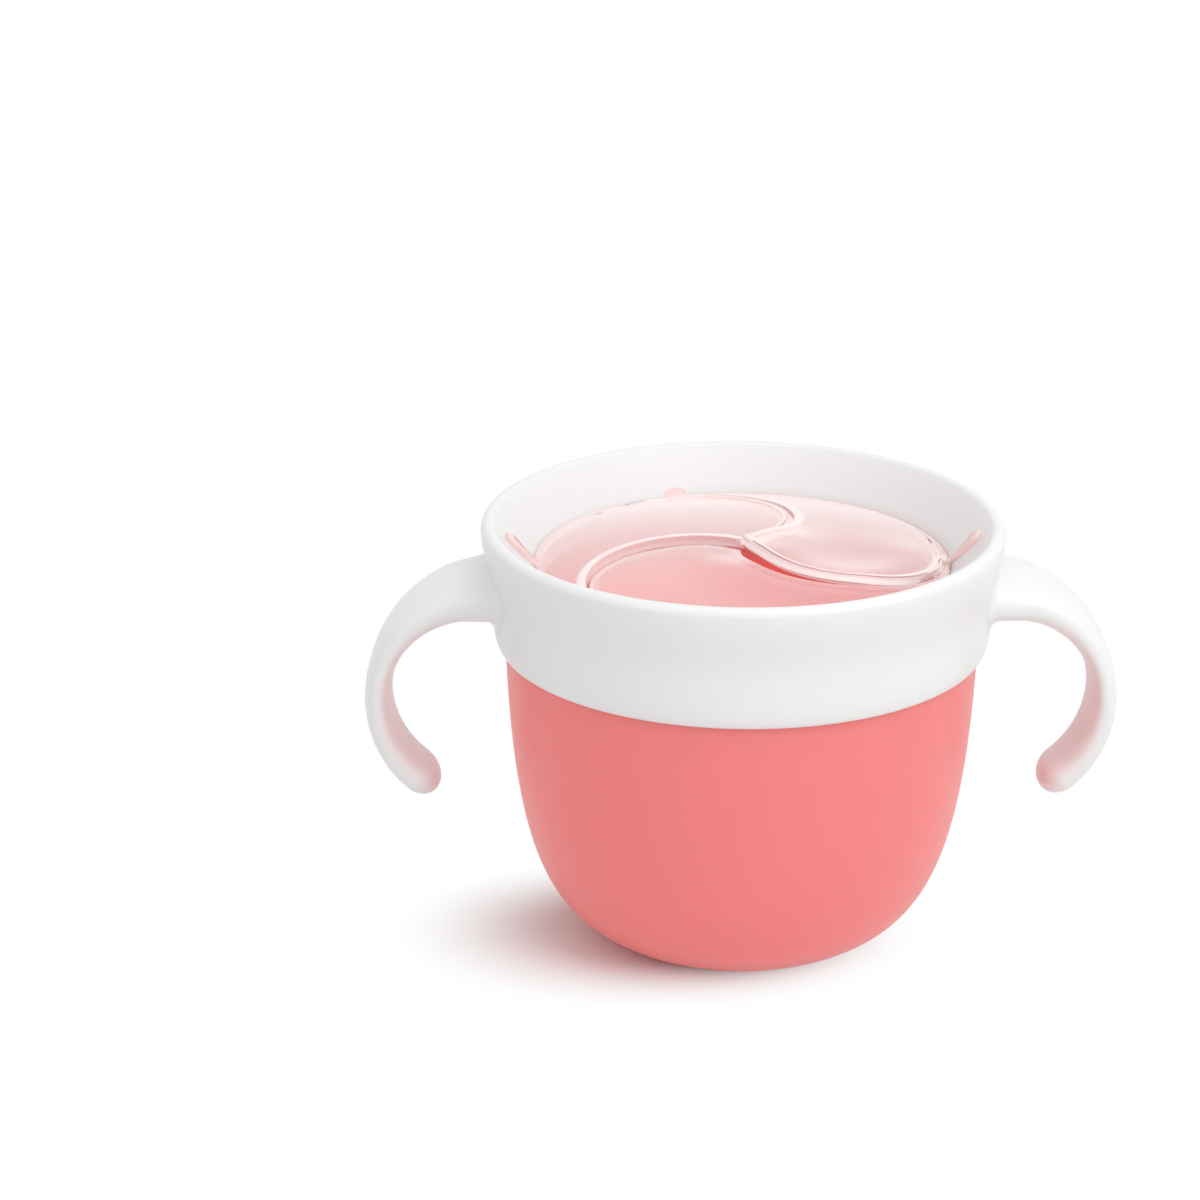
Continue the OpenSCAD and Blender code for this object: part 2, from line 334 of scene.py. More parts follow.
def moulded_skin():
    """Node group: the slight mottle, uneven gloss and fine grain of moulded plastic."""
    name = "Moulded skin"
    if name in bpy.data.node_groups:
        return bpy.data.node_groups[name]
    tree = bpy.data.node_groups.new(name, "ShaderNodeTree")
    face = tree.interface
    face.new_socket("Tone", in_out="INPUT", socket_type="NodeSocketColor")
    for socket, value in (("Mottle", 0.03), ("Gloss", 0.4), ("Gloss shift", 0.08), ("Grain", 0.3)):
        knob = face.new_socket(socket, in_out="INPUT", socket_type="NodeSocketFloat")
        knob.default_value = value
    face.new_socket("Color", in_out="OUTPUT", socket_type="NodeSocketColor")
    for socket in ("Roughness", "Height"):
        face.new_socket(socket, in_out="OUTPUT", socket_type="NodeSocketFloat")
    inside = add(tree, "NodeGroupInput", (-900, 0)).outputs
    out = add(tree, "NodeGroupOutput", (500, 0)).inputs
    where = add(tree, "ShaderNodeTexCoord", (-900, 300))

    def noise(scale, detail, place):
        node = add(tree, "ShaderNodeTexNoise", place)
        node.inputs["Scale"].default_value = scale
        node.inputs["Detail"].default_value = detail
        feed(tree, node.inputs["Vector"], where.outputs["Object"])
        return node.outputs["Fac"]

    # Wide clouds in the colour, patches in the gloss and a fine grain in the height
    cloud = noise(55, 2, (-600, 400))
    patch = noise(420, 3, (-600, 100))
    grain = noise(3800, 1, (-600, -200))
    centred = maths(tree, "SUBTRACT", (-350, 400), cloud, 0.5)
    swing = maths(tree, "MULTIPLY_ADD", (-150, 400), centred, inside["Mottle"], 1.0)
    tone = add(tree, "ShaderNodeVectorMath", (100, 400), operation="SCALE")
    feed(tree, tone.inputs[0], inside["Tone"])
    feed(tree, tone.inputs["Scale"], swing)
    feed(tree, out["Color"], tone.outputs["Vector"])
    uneven = maths(tree, "SUBTRACT", (-350, 100), patch, 0.5)
    shift, gloss = inside["Gloss shift"], inside["Gloss"]
    feed(tree, out["Roughness"], maths(tree, "MULTIPLY_ADD", (-100, 100), uneven, shift, gloss))
    feed(tree, out["Height"], maths(tree, "MULTIPLY", (-100, -200), grain, inside["Grain"]))
    return tree


def plastic(name, tone, gloss, mottle, grain=0.3, **sockets):
    """A moulded plastic, with the shader's own constants given by socket name."""
    material = bpy.data.materials.new(name)
    material.use_nodes = True
    tree = material.node_tree
    shader = tree.nodes["Principled BSDF"]
    skin = add(tree, "ShaderNodeGroup", (-500, 200), node_tree=moulded_skin())
    skin.inputs["Tone"].default_value = (*tone, 1)
    for socket, value in (("Mottle", mottle), ("Gloss", gloss), ("Grain", grain)):
        skin.inputs[socket].default_value = value
    bump = add(tree, "ShaderNodeBump", (-250, -100))
    bump.inputs["Strength"].default_value = 0.12
    bump.inputs["Distance"].default_value = 0.02 * MM
    feed(tree, shader.inputs["Base Color"], skin.outputs["Color"])
    feed(tree, shader.inputs["Roughness"], skin.outputs["Roughness"])
    feed(tree, bump.inputs["Height"], skin.outputs["Height"])
    feed(tree, shader.inputs["Normal"], bump.outputs["Normal"])
    for socket, value in sockets.items():
        shader.inputs[socket.replace("_", " ")].default_value = value
    return material


def dress(piece, material):
    piece.data.materials.clear()
    piece.data.materials.append(material)


# Bowl


def bowl_curve(cup, t):
    """Point and direction of the bowl's side at t from the foot, 0, to the neck, 1.

    The side is one curve with two control points, full near the foot and nearly straight above.
    """
    foot, neck, high = cup.foot_radius, cup.neck_radius, cup.bowl_height
    p = [
        Vector((foot, 0)),
        Vector((foot + 0.54 * (neck - foot), 0.081 * high)),
        Vector((neck - 0.053 * (neck - foot), 0.2 * high)),
        Vector((neck, high)),
    ]
    u = 1 - t
    place = u**3 * p[0] + 3 * u * u * t * p[1] + 3 * u * t * t * p[2] + t**3 * p[3]
    run = u * u * (p[1] - p[0]) + 2 * u * t * (p[2] - p[1]) + t * t * (p[3] - p[2])
    return place, run.normalized()


def snap_height(collar):
    """Height of the middle of the collar's snap rib and of the bowl's groove."""
    return collar.top - collar.height + collar.skirt_round + 2 * MM


def bowl_outline(cup, collar):
    steps = 40
    snap_z = snap_height(collar)
    groove, flank = 0.75 * MM, 0.4 * MM
    rim = cup.wall / 2
    rim_centre = (cup.neck_radius - rim, cup.rim_height - rim)
    foot_ring = 4 * MM
    hollow = cup.foot_radius - foot_ring
    soft = 0.3 * MM
    outside = [bowl_curve(cup, i / steps)[0] for i in range(steps + 1)]
    inside = []
    for i in range(steps, -1, -1):
        place, run = bowl_curve(cup, i / steps)
        inside.append(place + cup.wall * Vector((-run.y, run.x)))
    return (
        [(0, cup.foot_hollow), (hollow - soft, cup.foot_hollow)]
        + [(hollow, cup.foot_hollow - soft), (hollow + 0.2 * MM, 0.05 * MM)]
        + [(hollow + 0.4 * MM, 0)]
        + [tuple(p) for p in outside]
        + [(cup.neck_radius, snap_z - groove - flank)]
        + [(cup.neck_radius - flank, snap_z - groove), (cup.neck_radius - flank, snap_z + groove)]
        + [(cup.neck_radius, snap_z + groove + flank)]
        + arc(rim_centre, rim, 0, 180, 10)
        + [tuple(p) for p in inside]
        + [(0, inside[-1].y)]
    )


class SNACK_OT_bowl(bpy.types.Operator):
    """Model the coral bowl by turning its outline"""

    bl_idname = "snack.bowl"
    bl_label = "Bowl"
    bl_options = {"REGISTER", "UNDO"}

    def execute(self, context):
        cup = context.scene.snack_bowl
        piece = lathe("coral_bowl", bowl_outline(cup, context.scene.snack_collar))
        smooth(piece, 40)
        coral = plastic(
            "Coral plastic",
            cup.colour,
            gloss=0.42,
            mottle=0.04,
            Subsurface_Weight=0.7,
            Subsurface_Radius=(1.0, 0.3, 0.28),
            Subsurface_Scale=0.007,
            Specular_IOR_Level=0.45,
        )
        dress(piece, coral)
        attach(piece, "cup")
        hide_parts("cup")
        return {"FINISHED"}


# Collar


def slope_of(collar):
    """Slope of the funnel, from the lid's edge to where it meets the lip's round."""
    to_lip = Vector(
        (
            collar.lip_radius - collar.lip_round - collar.lid_radius,
            collar.top - collar.lip_round - collar.lid_height,
        )
    )
    return math.atan2(to_lip.y, to_lip.x) + math.asin(collar.lip_round / to_lip.length)


def funnel_height(collar, radius, below=0):
    """Height of the funnel's face at a radius, or of a face that lies below it."""
    slope = slope_of(collar)
    rise = (radius - collar.lid_radius) * math.tan(slope)
    return collar.lid_height + rise - below / math.cos(slope)


def flare_ends(collar):
    """Heights between which the collar widens from its skirt to its lip."""
    return collar.top - collar.height + 0.4 * collar.height, collar.top - collar.lip_round


def skirt_outside(collar, height):
    """Outer radius of the collar at a height between its skirt and its lip."""
    start, end = flare_ends(collar)
    return mix(collar.skirt_radius, collar.lip_radius, ease((height - start) / (end - start)))


def collar_outline(collar):
    low = collar.top - collar.height
    flare_start, lip_z = flare_ends(collar)
    lip = (collar.lip_radius - collar.lip_round, lip_z)
    bore, wall, hole = collar.bore_radius, collar.funnel_wall, collar.lid_radius
    edge = bore + 0.35 * MM
    rib_z = snap_height(collar)
    rib, rib_radius = 0.7 * MM, bore - 0.3 * MM
    soft = 0.25 * MM
    skirt = []
    for i in range(11):
        a = math.radians(9 * i)
        radius = mix(edge, collar.skirt_radius, math.sin(a))
        skirt.append((radius, low + collar.skirt_round * (1 - math.cos(a))))
    heights = [mix(flare_start, lip_z, i / 15) for i in range(15)]
    flare = [(skirt_outside(collar, z), z) for z in heights]
    turn = 90 + math.degrees(slope_of(collar))
    # The funnel's face starts a little inside the end of the lip's roll
    ramp_start = collar.lip_radius - 3.4 * MM
    ramp = [mix(ramp_start, hole + soft, i / 6) for i in range(1, 7)]
    return (
        [(bore, low + 0.3 * MM), (bore + 0.1 * MM, low)]
        + skirt
        + flare
        + arc(lip, collar.lip_round, 0, turn, 16)
        + [(r, funnel_height(collar, r)) for r in ramp]
        + [(hole, collar.lid_height - soft), (hole, funnel_height(collar, hole, wall))]
        + [(bore, funnel_height(collar, bore, wall))]
        + [(bore, rib_z + rib), (rib_radius, rib_z + rib / 2)]
        + [(rib_radius, rib_z - rib / 2), (bore, rib_z - rib)]
        + [(bore, low + 0.3 * MM)]
    )


def strap(root, middle, tip, t):
    """Size of the handle's strap at t from its root, 0, to its tip, 1."""
    if t < 0.5:
        return mix(middle, root, (1 - 2 * t) ** 1.3)
    return mix(middle, tip, (2 * t - 1) ** 1.5)


def handle_point(collar, handle, t, side):
    """Point on the handle's surface at t along it and an angle round it, and the way out of it."""
    root = collar.bore_radius - 0.8 * MM
    start = math.acos((root - handle.centre_x) / handle.curve_radius)
    sweep = start + handle.end
    turn = start - sweep * t
    tip = max(0, (t - 1) * handle.curve_radius * sweep / handle.tip_length + 1)
    k = math.sqrt(max(0.0004, 1 - tip * tip))
    # Exponent that makes the strap's section a little boxier than an ellipse
    boxy = 0.84
    across = math.copysign(abs(math.cos(side)) ** boxy, math.cos(side))
    along = math.copysign(abs(math.sin(side)) ** boxy, math.sin(side))
    thick = strap(handle.root_thickness, handle.middle_thickness, handle.tip_thickness, t) / 2
    wide = strap(handle.root_width, handle.middle_width, handle.tip_width, t) / 2
    reach = handle.curve_radius + k * across * thick
    outwards, upwards = math.cos(turn), math.sin(turn)
    place = Vector(
        (
            handle.centre_x + reach * outwards,
            k * along * wide,
            handle.centre_z + reach * upwards,
        )
    )
    out = Vector(
        (
            math.cos(side) / thick * outwards,
            math.sin(side) / wide,
            math.cos(side) / thick * upwards,
        )
    )
    return place, out.normalized()


def off_skirt(collar, place):
    return math.hypot(place.x, place.y) - skirt_outside(collar, place.z)


def onto_skirt(collar, place, depth):
    """Moves a point square to the cup's axis, to a distance from the skirt's surface."""
    reach = (skirt_outside(collar, place.z) + depth) / math.hypot(place.x, place.y)
    return Vector((place.x * reach, place.y * reach, place.z))


def leave_skirt(collar, handle, side, depth, last):
    """Point of one line along the handle, before `last`, where it is a distance off the skirt."""
    low, high = 0.0, last
    for _ in range(30):
        t = (low + high) / 2
        if off_skirt(collar, handle_point(collar, handle, t, side)[0]) < depth:
            low = t
        else:
            high = t
    return handle_point(collar, handle, high, side)


def handle_rows(collar, handle, sides):
    """Rings of the handle, from inside the skirt's wall, up the fillet and along to the tip."""
    turns = [2 * math.pi * j / sides for j in range(sides)]
    fillet = collar.fillet
    # Where the free part of the handle starts, as a share of its length
    first = 0.16
    depths = [-0.25 * fillet] + [fillet * (i / 10) ** 2 for i in range(11)]
    rows = []
    for depth in depths:
        left = fillet - max(depth, 0)
        spread = fillet - math.sqrt(max(fillet * fillet - left * left, 0))
        row = []
        for side in turns:
            place, out = leave_skirt(collar, handle, side, depth, first)
            row.append(onto_skirt(collar, place + out * spread, depth))
        rows.append(row)
    middle = sum(rows[0], Vector()) / sides
    inner = []
    for k in (0.02, 0.35, 0.7):
        inner.append([onto_skirt(collar, middle.lerp(p, k), depths[0]) for p in rows[0]])
    rows = inner + rows
    steps = 56
    for i in range(steps + 1):
        t = 1 - (1 - first) * (1 - i / steps) ** 1.35
        rows.append([handle_point(collar, handle, t, side)[0] for side in turns])
    return rows


def sweep_handle(name, collar, handle, mirrored):
    sides = 40
    rows = handle_rows(collar, handle, sides)
    if mirrored:
        rows = [[Vector((-p.x, -p.y, p.z)) for p in row] for row in rows]
    deselect()
    bpy.ops.mesh.primitive_circle_add(vertices=sides, radius=handle.root_thickness)
    piece = bpy.context.object
    piece.name = name
    bpy.ops.object.mode_set(mode="EDIT")
    bpy.ops.mesh.select_all(action="SELECT")
    place_selected(piece, rows[0])
    bpy.ops.mesh.edge_face_add()
    bpy.ops.mesh.select_all(action="SELECT")
    extrude_rows(piece, rows[1:])
    return close_up(piece)


# Directions of the two lugs and of the tab
LUG_TURNS = tuple(math.radians(a) for a in (-3, 184))
TAB_TURN = math.radians(107)
# How far the lugs and the tab reach in under the lid's edge
LUG_ROOT = 1 * MM


def turned(points, turn):
    """Flat points turned about the cup's axis."""
    c, s = math.cos(turn), math.sin(turn)
    return [Vector((x * c - y * s, x * s + y * c)) for x, y in points]


def lug_head(collar):
    """Distance of a lug's head from the cup's axis."""
    return collar.lid_radius + 0.55 * (collar.bore_radius - collar.lid_radius)


def teardrop(collar, lid, turn, grow):
    """Outline of a lug: a round head that narrows to a neck at the lid's edge."""
    radius, neck = lid.lug_radius + grow, 0.5 * lid.lug_radius + grow
    inner = collar.lid_radius - LUG_ROOT
    neck_end = inner + 1.8 * MM
    points = [(inner, -neck), (neck_end, -neck)]
    points += arc((lug_head(collar), 0), radius, -90, 90, 14)
    points += [(neck_end, neck), (inner, neck)]
    return turned(points, turn)


def tab_outline(collar, lid, grow):
    """Outline of the flat rounded tab at the back of the lid."""
    inner = collar.lid_radius - LUG_ROOT
    reach = lid.tab_reach + grow
    side = lid.tab_width / 2 + grow
    points = [(inner, -side)]
    for i in range(13):
        a = math.radians(15 * i - 90)
        points.append((collar.lid_radius + reach * math.cos(a) ** 0.6, side * math.sin(a)))
    return turned(points + [(inner, side)], TAB_TURN)


def lid_outlines(collar, lid, grow):
    """Outlines of the lugs and the tab; grown by the gap, they are the collar's windows."""
    lugs = [teardrop(collar, lid, turn, grow) for turn in LUG_TURNS]
    return lugs + [tab_outline(collar, lid, grow)]


def stack(name, rows):
    """Closes a first outline with a face and extrudes it up through the further ones."""
    piece = begin(name, rows[0][0])
    draw(rows[0])
    bpy.ops.mesh.select_all(action="SELECT")
    bpy.ops.mesh.edge_face_add()
    extrude_rows(piece, rows[1:])
    return close_up(piece)


def prism(name, outline, low, high):
    """Extrudes an outline up from one height to another; each height is a rule for a point."""
    return stack(name, [[Vector((*p, height(p))) for p in outline] for height in (low, high)])


class SNACK_OT_collar(bpy.types.Operator):
    """Model the white collar: turned ring with lug windows, and two swept handles"""

    bl_idname = "snack.collar"
    bl_label = "Collar and handles"
    bl_options = {"REGISTER", "UNDO"}

    def execute(self, context):
        collar = context.scene.snack_collar
        handle = context.scene.snack_handles
        lid = context.scene.snack_lid
        piece = lathe("white_collar", collar_outline(collar))
        for i, outline in enumerate(lid_outlines(collar, lid, lid.gap)):
            cutter = prism(
                f"window_{i}",
                outline,
                lambda p: collar.lid_height - 4 * MM,
                lambda p: collar.lid_height + 10 * MM,
            )
            combine(piece, cutter, "DIFFERENCE")
        handles = [sweep_handle(f"handle_{i}", collar, handle, i == 1) for i in range(2)]
        pick(piece, *handles)
        bpy.ops.object.join()
        smooth(piece, 40)
        white = plastic(
            "White plastic",
            collar.colour,
            gloss=0.36,
            mottle=0.015,
            Subsurface_Weight=0.08,
            Subsurface_Radius=(1.0, 0.9, 0.8),
            Subsurface_Scale=0.002,
            Specular_IOR_Level=0.45,
        )
        dress(piece, white)
        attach(piece, "collar")
        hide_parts("collar")
        return {"FINISHED"}


# Lid


# Place and spread of the swelling at the tip of the right flap
TIP_PLACE = Vector((2 * MM, -3 * MM))
TIP_SPREAD = 7.5 * MM
# Spread of the ridge along the slit between the front and right flaps, and its fade at each end
RIDGE_SPREAD = 9 * MM
RIDGE_FADE = 12 * MM
# How far each flap follows that ridge, and where its slit lies as seen from the flap
RIDGE_SHARE = {"front": 0.8, "right": 1, "left": 0}
RIDGE_THIRD = {"front": 1, "right": 0, "left": 0}
# The front flap's own bead is only hinted at: its height and its milkiness
BEAD_SHARE = {"front": 0.15, "right": 1, "left": 1}
BAND_SHARE = {"front": 0.12, "right": 1, "left": 1}


def lobe_radius(collar, lid):
    """Radius of the half circles that the slits follow, from the lid's middle to near its edge."""
    return (collar.lid_radius - lid.slit_end) / 2


def to_slit(collar, lid, p, third):
    """Distance of a point from a slit's half circle, as if the first slit ended at azimuth 0."""
    radius = lobe_radius(collar, lid)
    p = turned([p.xy], -THIRD_TURN * third)[0]
    if p.y <= 0:
        return abs(math.hypot(p.x - radius, p.y) - radius)
    return min(p.length, math.hypot(p.x - 2 * radius, p.y))


def reach_turn(radius, lobe, offset):
    """Azimuth at which the circle through the lid's middle, grown by an offset, is that far out."""
    ratio = (radius * radius + lobe * lobe - (lobe + offset) ** 2) / (2 * radius * lobe)
    return math.acos(min(max(ratio, -1), 1))


def blade_rows(collar, lid):
    """Rows of points across one blade, from the lid's middle out: a radius and its azimuths."""
    edge = collar.lid_radius - 2.5 * lid.gap
    lobe = lobe_radius(collar, lid)
    half = lid.slit / 2
    seam = 0.02 * MM
    # Distances in mm from a slit at which the columns beside it run, close together over its bead
    steps = [0, 0.1, 0.25, 0.5, 0.85, 1.2, 1.45, 1.6, 1.75, 2.1]
    middle = 34
    columns = 2 * len(steps) + middle - 1
    tip = half / math.sin(math.pi / 3)
    fine_from = 33 * MM
    radii = [tip * 1.001, 0.5 * MM, 0.8 * MM]
    radii += [mix(1.1 * MM, fine_from, i / 62) for i in range(63)]
    radii += [mix(fine_from + 0.3 * MM, edge, i / 20) for i in range(21)]
    rows = []
    for radius in radii:
        start = max(-reach_turn(radius, lobe, -half), -math.pi / 2)
        end = THIRD_TURN - max(reach_turn(radius, lobe, half), seam / radius)
        if radius >= 2 * lobe - half:
            start = max(start, -seam / radius)
        left, right = [], []
        for j, step in enumerate(steps):
            cap = (end - start) * j / columns
            a = -reach_turn(radius, lobe, -half - step * MM) - start
            b = end - (THIRD_TURN - reach_turn(radius, lobe, half + step * MM))
            left.append(start + (min(a, cap) if a > 0 else cap))
            right.append(end - (min(b, cap) if b > 0 or j == 0 else cap))
        between = [mix(left[-1], right[-1], i / middle) for i in range(1, middle)]
        rows.append((radius, left + between + right[::-1]))
    return rows


def bead(lid, distance):
    """Shares, at a distance from a slit, of the bead's full height and of its milky band.

    The bead is a quarter lower right at the slit, and both run out where its width ends.
    """
    t = distance / lid.bead_width
    dip = 0.25 * max(0, 1 - t / 0.15) ** 2
    return 1 - dip - ease((t - 0.78) / 0.3), 1 - ease((t - 0.86) / 0.2)


def blade_place(collar, lid, side, radius, turn):
    """Point halfway through a blade, as if the blade's own slit ended at azimuth 0."""
    sag = lid.sag if side == "front" else 0
    rise = (lid.dome - sag) * (1 - (radius / collar.lid_radius) ** 2)
    height = collar.lid_height + rise - lid.thickness / 2
    p = Vector((radius * math.cos(turn), radius * math.sin(turn), height))
    if side == "right":
        off = p.xy - TIP_PLACE
        p.z += lid.lift * math.exp(-off.length_squared / (2 * TIP_SPREAD**2))
    p.z += RIDGE_SHARE[side] * ridge_height(collar, lid, p, RIDGE_THIRD[side])
    return p


def ridge_height(collar, lid, p, third):
    """How far the lid has set upwards at a point by the slit between the front and right flaps."""
    away = to_slit(collar, lid, p, third) / RIDGE_SPREAD
    radius = p.xy.length
    middle = ease(radius / RIDGE_FADE) * ease((collar.lid_radius - radius) / RIDGE_FADE)
    return lid.ridge * math.exp(-away * away) * middle


def model_blade(side, collar, lid):
    """One blade of the pinwheel, from its tip in the middle to the lid's edge."""
    rows = blade_rows(collar, lid)
    direction = lid.turn + THIRD_TURN * BLADE_THIRD[side]
    full = lid.thickness + 2 * lid.bead_height
    swell = lid.bead_height * BEAD_SHARE[side]
    edge = rows[-1][0]
    grid = []
    weights = []
    bands = []
    for radius, row in rows:
        line = []
        for a in row:
            p = blade_place(collar, lid, side, radius, a)
            near = min(to_slit(collar, lid, p, 0), to_slit(collar, lid, p, 1))
            height, band = bead(lid, max(near - lid.slit / 2, 0))
            height *= ease((edge - radius) / (3 * MM))
            weights.append((lid.thickness + 2 * swell * height) / full)
            bands.append(band * BAND_SHARE[side])
            line.append(Vector((*turned([p.xy], direction)[0], p.z)))
        grid.append(line)
    piece = begin(f"{side}_blade", grid[0][0])
    draw(grid[0])
    bpy.ops.mesh.select_all(action="SELECT")
    place_selected(piece, grid[0])
    extrude_rows(piece, grid[1:])
    bpy.ops.object.mode_set(mode="OBJECT")
    group = piece.vertex_groups.new(name="thickness")
    for i, weight in enumerate(weights):
        group.add([i], weight, "REPLACE")
    shade = piece.data.attributes.new("bead", "FLOAT", "POINT")
    shade.data.foreach_set("value", bands)
    bpy.ops.object.mode_set(mode="EDIT")
    close_up(piece, 1e-6)
    if sum(p.normal.z for p in piece.data.polygons) < 0:
        bpy.ops.object.mode_set(mode="EDIT")
        bpy.ops.mesh.flip_normals()
        bpy.ops.object.mode_set(mode="OBJECT")
    apply_modifier(
        piece,
        "SOLIDIFY",
        thickness=full,
        offset=0,
        vertex_group="thickness",
        thickness_vertex_group=0,
        use_rim=True,
    )
    piece.vertex_groups.clear()
    smooth(piece, 50)
    return piece


# How much the clear lid covers what lies behind it: everywhere, where its outer side is seen flat
# (there the lit cover is a painted reflection of the bright room), on a bead and on a lug
VEIL = 0.12
PAINTED_SHEEN = 2.6
BEAD_COVER = 0.5
# The lugs' stronger cover shows their painted coral tint
LUG_COVER = 0.6
CLEAR_IOR = 1.45


def clear_material(lid):
    """Soft clear elastomer, which shows what lies behind it without bending the view; its lit cover
    thickens where it is seen at a glancing angle, as a painted reflection.

    The beads are duller, and the lugs carry a painted coral tint, a little darker than the rest,
    for the bowl seen through them. Shadow and diffuse rays pass through, so the bowl below stays
    lit.
    """
    material = plastic(
        "Clear elastomer",
        # lid.colour is pink: painted coral light from the bowl, put into the colour of a clear lid
        lid.colour,
        gloss=0.14,
        mottle=0.02,
        grain=0.2,
        IOR=CLEAR_IOR,
        Specular_IOR_Level=0.9,
    )
    tree = material.node_tree
    shader = tree.nodes["Principled BSDF"].inputs
    flat = add(tree, "ShaderNodeFresnel", (-1100, -300))
    flat.inputs["IOR"].default_value = CLEAR_IOR
    side = add(tree, "ShaderNodeNewGeometry", (-1300, -500))
    thick = add(tree, "ShaderNodeAttribute", (-900, -600), attribute_name="bead").outputs["Fac"]
    lug = add(tree, "ShaderNodeAttribute", (-650, -600), attribute_name="lug").outputs["Fac"]
    ray = add(tree, "ShaderNodeLightPath", (-450, -700)).outputs
    front = maths(tree, "SUBTRACT", (-1100, -500), 1.0, side.outputs["Backfacing"])
    outer = maths(tree, "MULTIPLY", (-900, -300), flat.outputs[0], front)
    # Painted reflection: the lit cover grows with the Fresnel term where the outer side is seen at
    # a glancing angle
    haze_and_painted_sheen = maths(tree, "MULTIPLY_ADD", (-650, -300), outer, PAINTED_SHEEN, VEIL)
    total = maths(tree, "MULTIPLY_ADD", (-450, -300), thick, BEAD_COVER, haze_and_painted_sheen)
    cover = maths(tree, "MULTIPLY_ADD", (-250, -300), lug, LUG_COVER, total, use_clamp=True)
    passing = maths(tree, "MAXIMUM", (-250, -600), ray["Is Shadow Ray"], ray["Is Diffuse Ray"])
    lit = maths(tree, "MULTIPLY_ADD", (-100, -600), passing, -1.0, 1.0)
    feed(tree, shader["Alpha"], maths(tree, "MULTIPLY", (-50, -300), cover, lit))
    gloss = shader["Roughness"].links[0].from_socket
    feed(tree, shader["Roughness"], maths(tree, "MULTIPLY_ADD", (-200, 100), thick, 0.4, gloss))
    # Painted coral light: the lugs are tinted a darker coral, which stands for the bowl's rim seen
    # through them
    painted_coral_tint = add(tree, "ShaderNodeMix", (-200, 400), data_type="RGBA")
    feed(tree, painted_coral_tint.inputs["Factor"], lug)
    feed(tree, painted_coral_tint.inputs["A"], shader["Base Color"].links[0].from_socket)
    painted_coral_tint.inputs["B"].default_value = (0.91, 0.67, 0.635, 1)
    feed(tree, shader["Base Color"], painted_coral_tint.outputs["Result"])
    return material


class SNACK_OT_lid(bpy.types.Operator):
    """Model the soft lid: three slit blades and the sealing ring with its lugs"""

    bl_idname = "snack.lid"
    bl_label = "Soft lid"
    bl_options = {"REGISTER", "UNDO"}

    def execute(self, context):
        collar = context.scene.snack_collar
        lid = context.scene.snack_lid
        clear = clear_material(lid)
        for side, third in BLADE_THIRD.items():
            piece = model_blade(side, collar, lid)
            dress(piece, clear)
            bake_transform(piece)
            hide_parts(f"{side}_flap", "lid_frame")
        ring = lathe("lid_seal", seal_outline(context.scene.snack_bowl, collar, lid))
        edge, under = collar.lid_radius, collar.funnel_wall + 0.3 * MM
        for i, outline in enumerate(lid_outlines(collar, lid, 0)):
            lug = prism(
                f"lug_{i}",
                outline,
                lambda p: funnel_height(collar, max(p.length, edge), under),
                lambda p: funnel_height(collar, max(p.length, edge), 0.1 * MM),
            )
            combine(ring, lug, "UNION")
        lugs = [lambda grow, turn=turn: teardrop(collar, lid, turn, grow) for turn in LUG_TURNS]
        for i, outline in enumerate(lugs):
            combine(ring, lug_pad(f"pad_{i}", collar, outline, 0.5 * MM, 1.6 * MM), "UNION")
        pad = lug_pad(
            "tab_pad", collar, lambda grow: tab_outline(collar, lid, grow), 0.25 * MM, 0.5 * MM
        )
        combine(ring, pad, "UNION")
        marks = [float(v.co.z > lug_base(collar, v.co.xy.length)) for v in ring.data.vertices]
        ring.data.attributes.new("lug", "FLOAT", "POINT").data.foreach_set("value", marks)
        smooth(ring, 40)
        dress(ring, clear)
        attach(ring, "collar")
        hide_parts("lid_frame")
        return {"FINISHED"}


def lug_base(collar, radius):
    """Height above which a point at this distance from the axis belongs to a lug or the tab."""
    return max(funnel_height(collar, radius, collar.funnel_wall), collar.lid_height - 0.6 * MM)


def lug_pad(name, collar, outline, spread, high):
    """Rounded pad of a lug or the tab, where it stands out of the funnel and covers its window."""
    skin = 0.03 * MM
    # How far the pad draws in towards its top, as a share of its height
    taper = 0.62
    # The pad grows from a low root at the lid's edge to its full height
    root_share, growth = 0.15, 3.4 * MM
    steps = [(0, -0.3 * MM), (0, 0.01 * MM), (spread, skin)]
    for i in range(1, 9):
        a = math.radians(10 * i)
        steps.append((spread - taper * high * (1 - math.cos(a)), skin + high * math.sin(a)))
    rows = []
    for grow, up in steps:
        row = []
        for p in outline(grow):
            grown = ease((p.length - collar.lid_radius + LUG_ROOT) / growth)
            rise = min(up, up * mix(root_share, 1, grown))
            face = funnel_height(collar, max(p.length, collar.lid_radius))
            row.append(Vector((*p, face + rise)))
        rows.append(row)
    return stack(name, rows)


def seal_outline(cup, collar, lid):
    """The web that hangs from the lid's edge, and the flange between funnel and bowl."""
    web = collar.lid_radius - lid.gap
    web_wall = 1.3 * MM
    web_in = web - web_wall
    flange = cup.neck_radius - 0.25 * MM
    flange_wall = 1.2 * MM
    upper = collar.funnel_wall + lid.gap
    lower = upper + flange_wall
    top = collar.lid_height - lid.thickness - 0.02 * MM
    return [
        (web_in, top),
        (web, top),
        (web, funnel_height(collar, web, upper)),
        (flange, funnel_height(collar, flange, upper)),
        (flange, funnel_height(collar, flange, lower)),
        (web, funnel_height(collar, web, lower)),
        (web_in, funnel_height(collar, web, lower)),
        (web_in, top),
    ]


# Stage


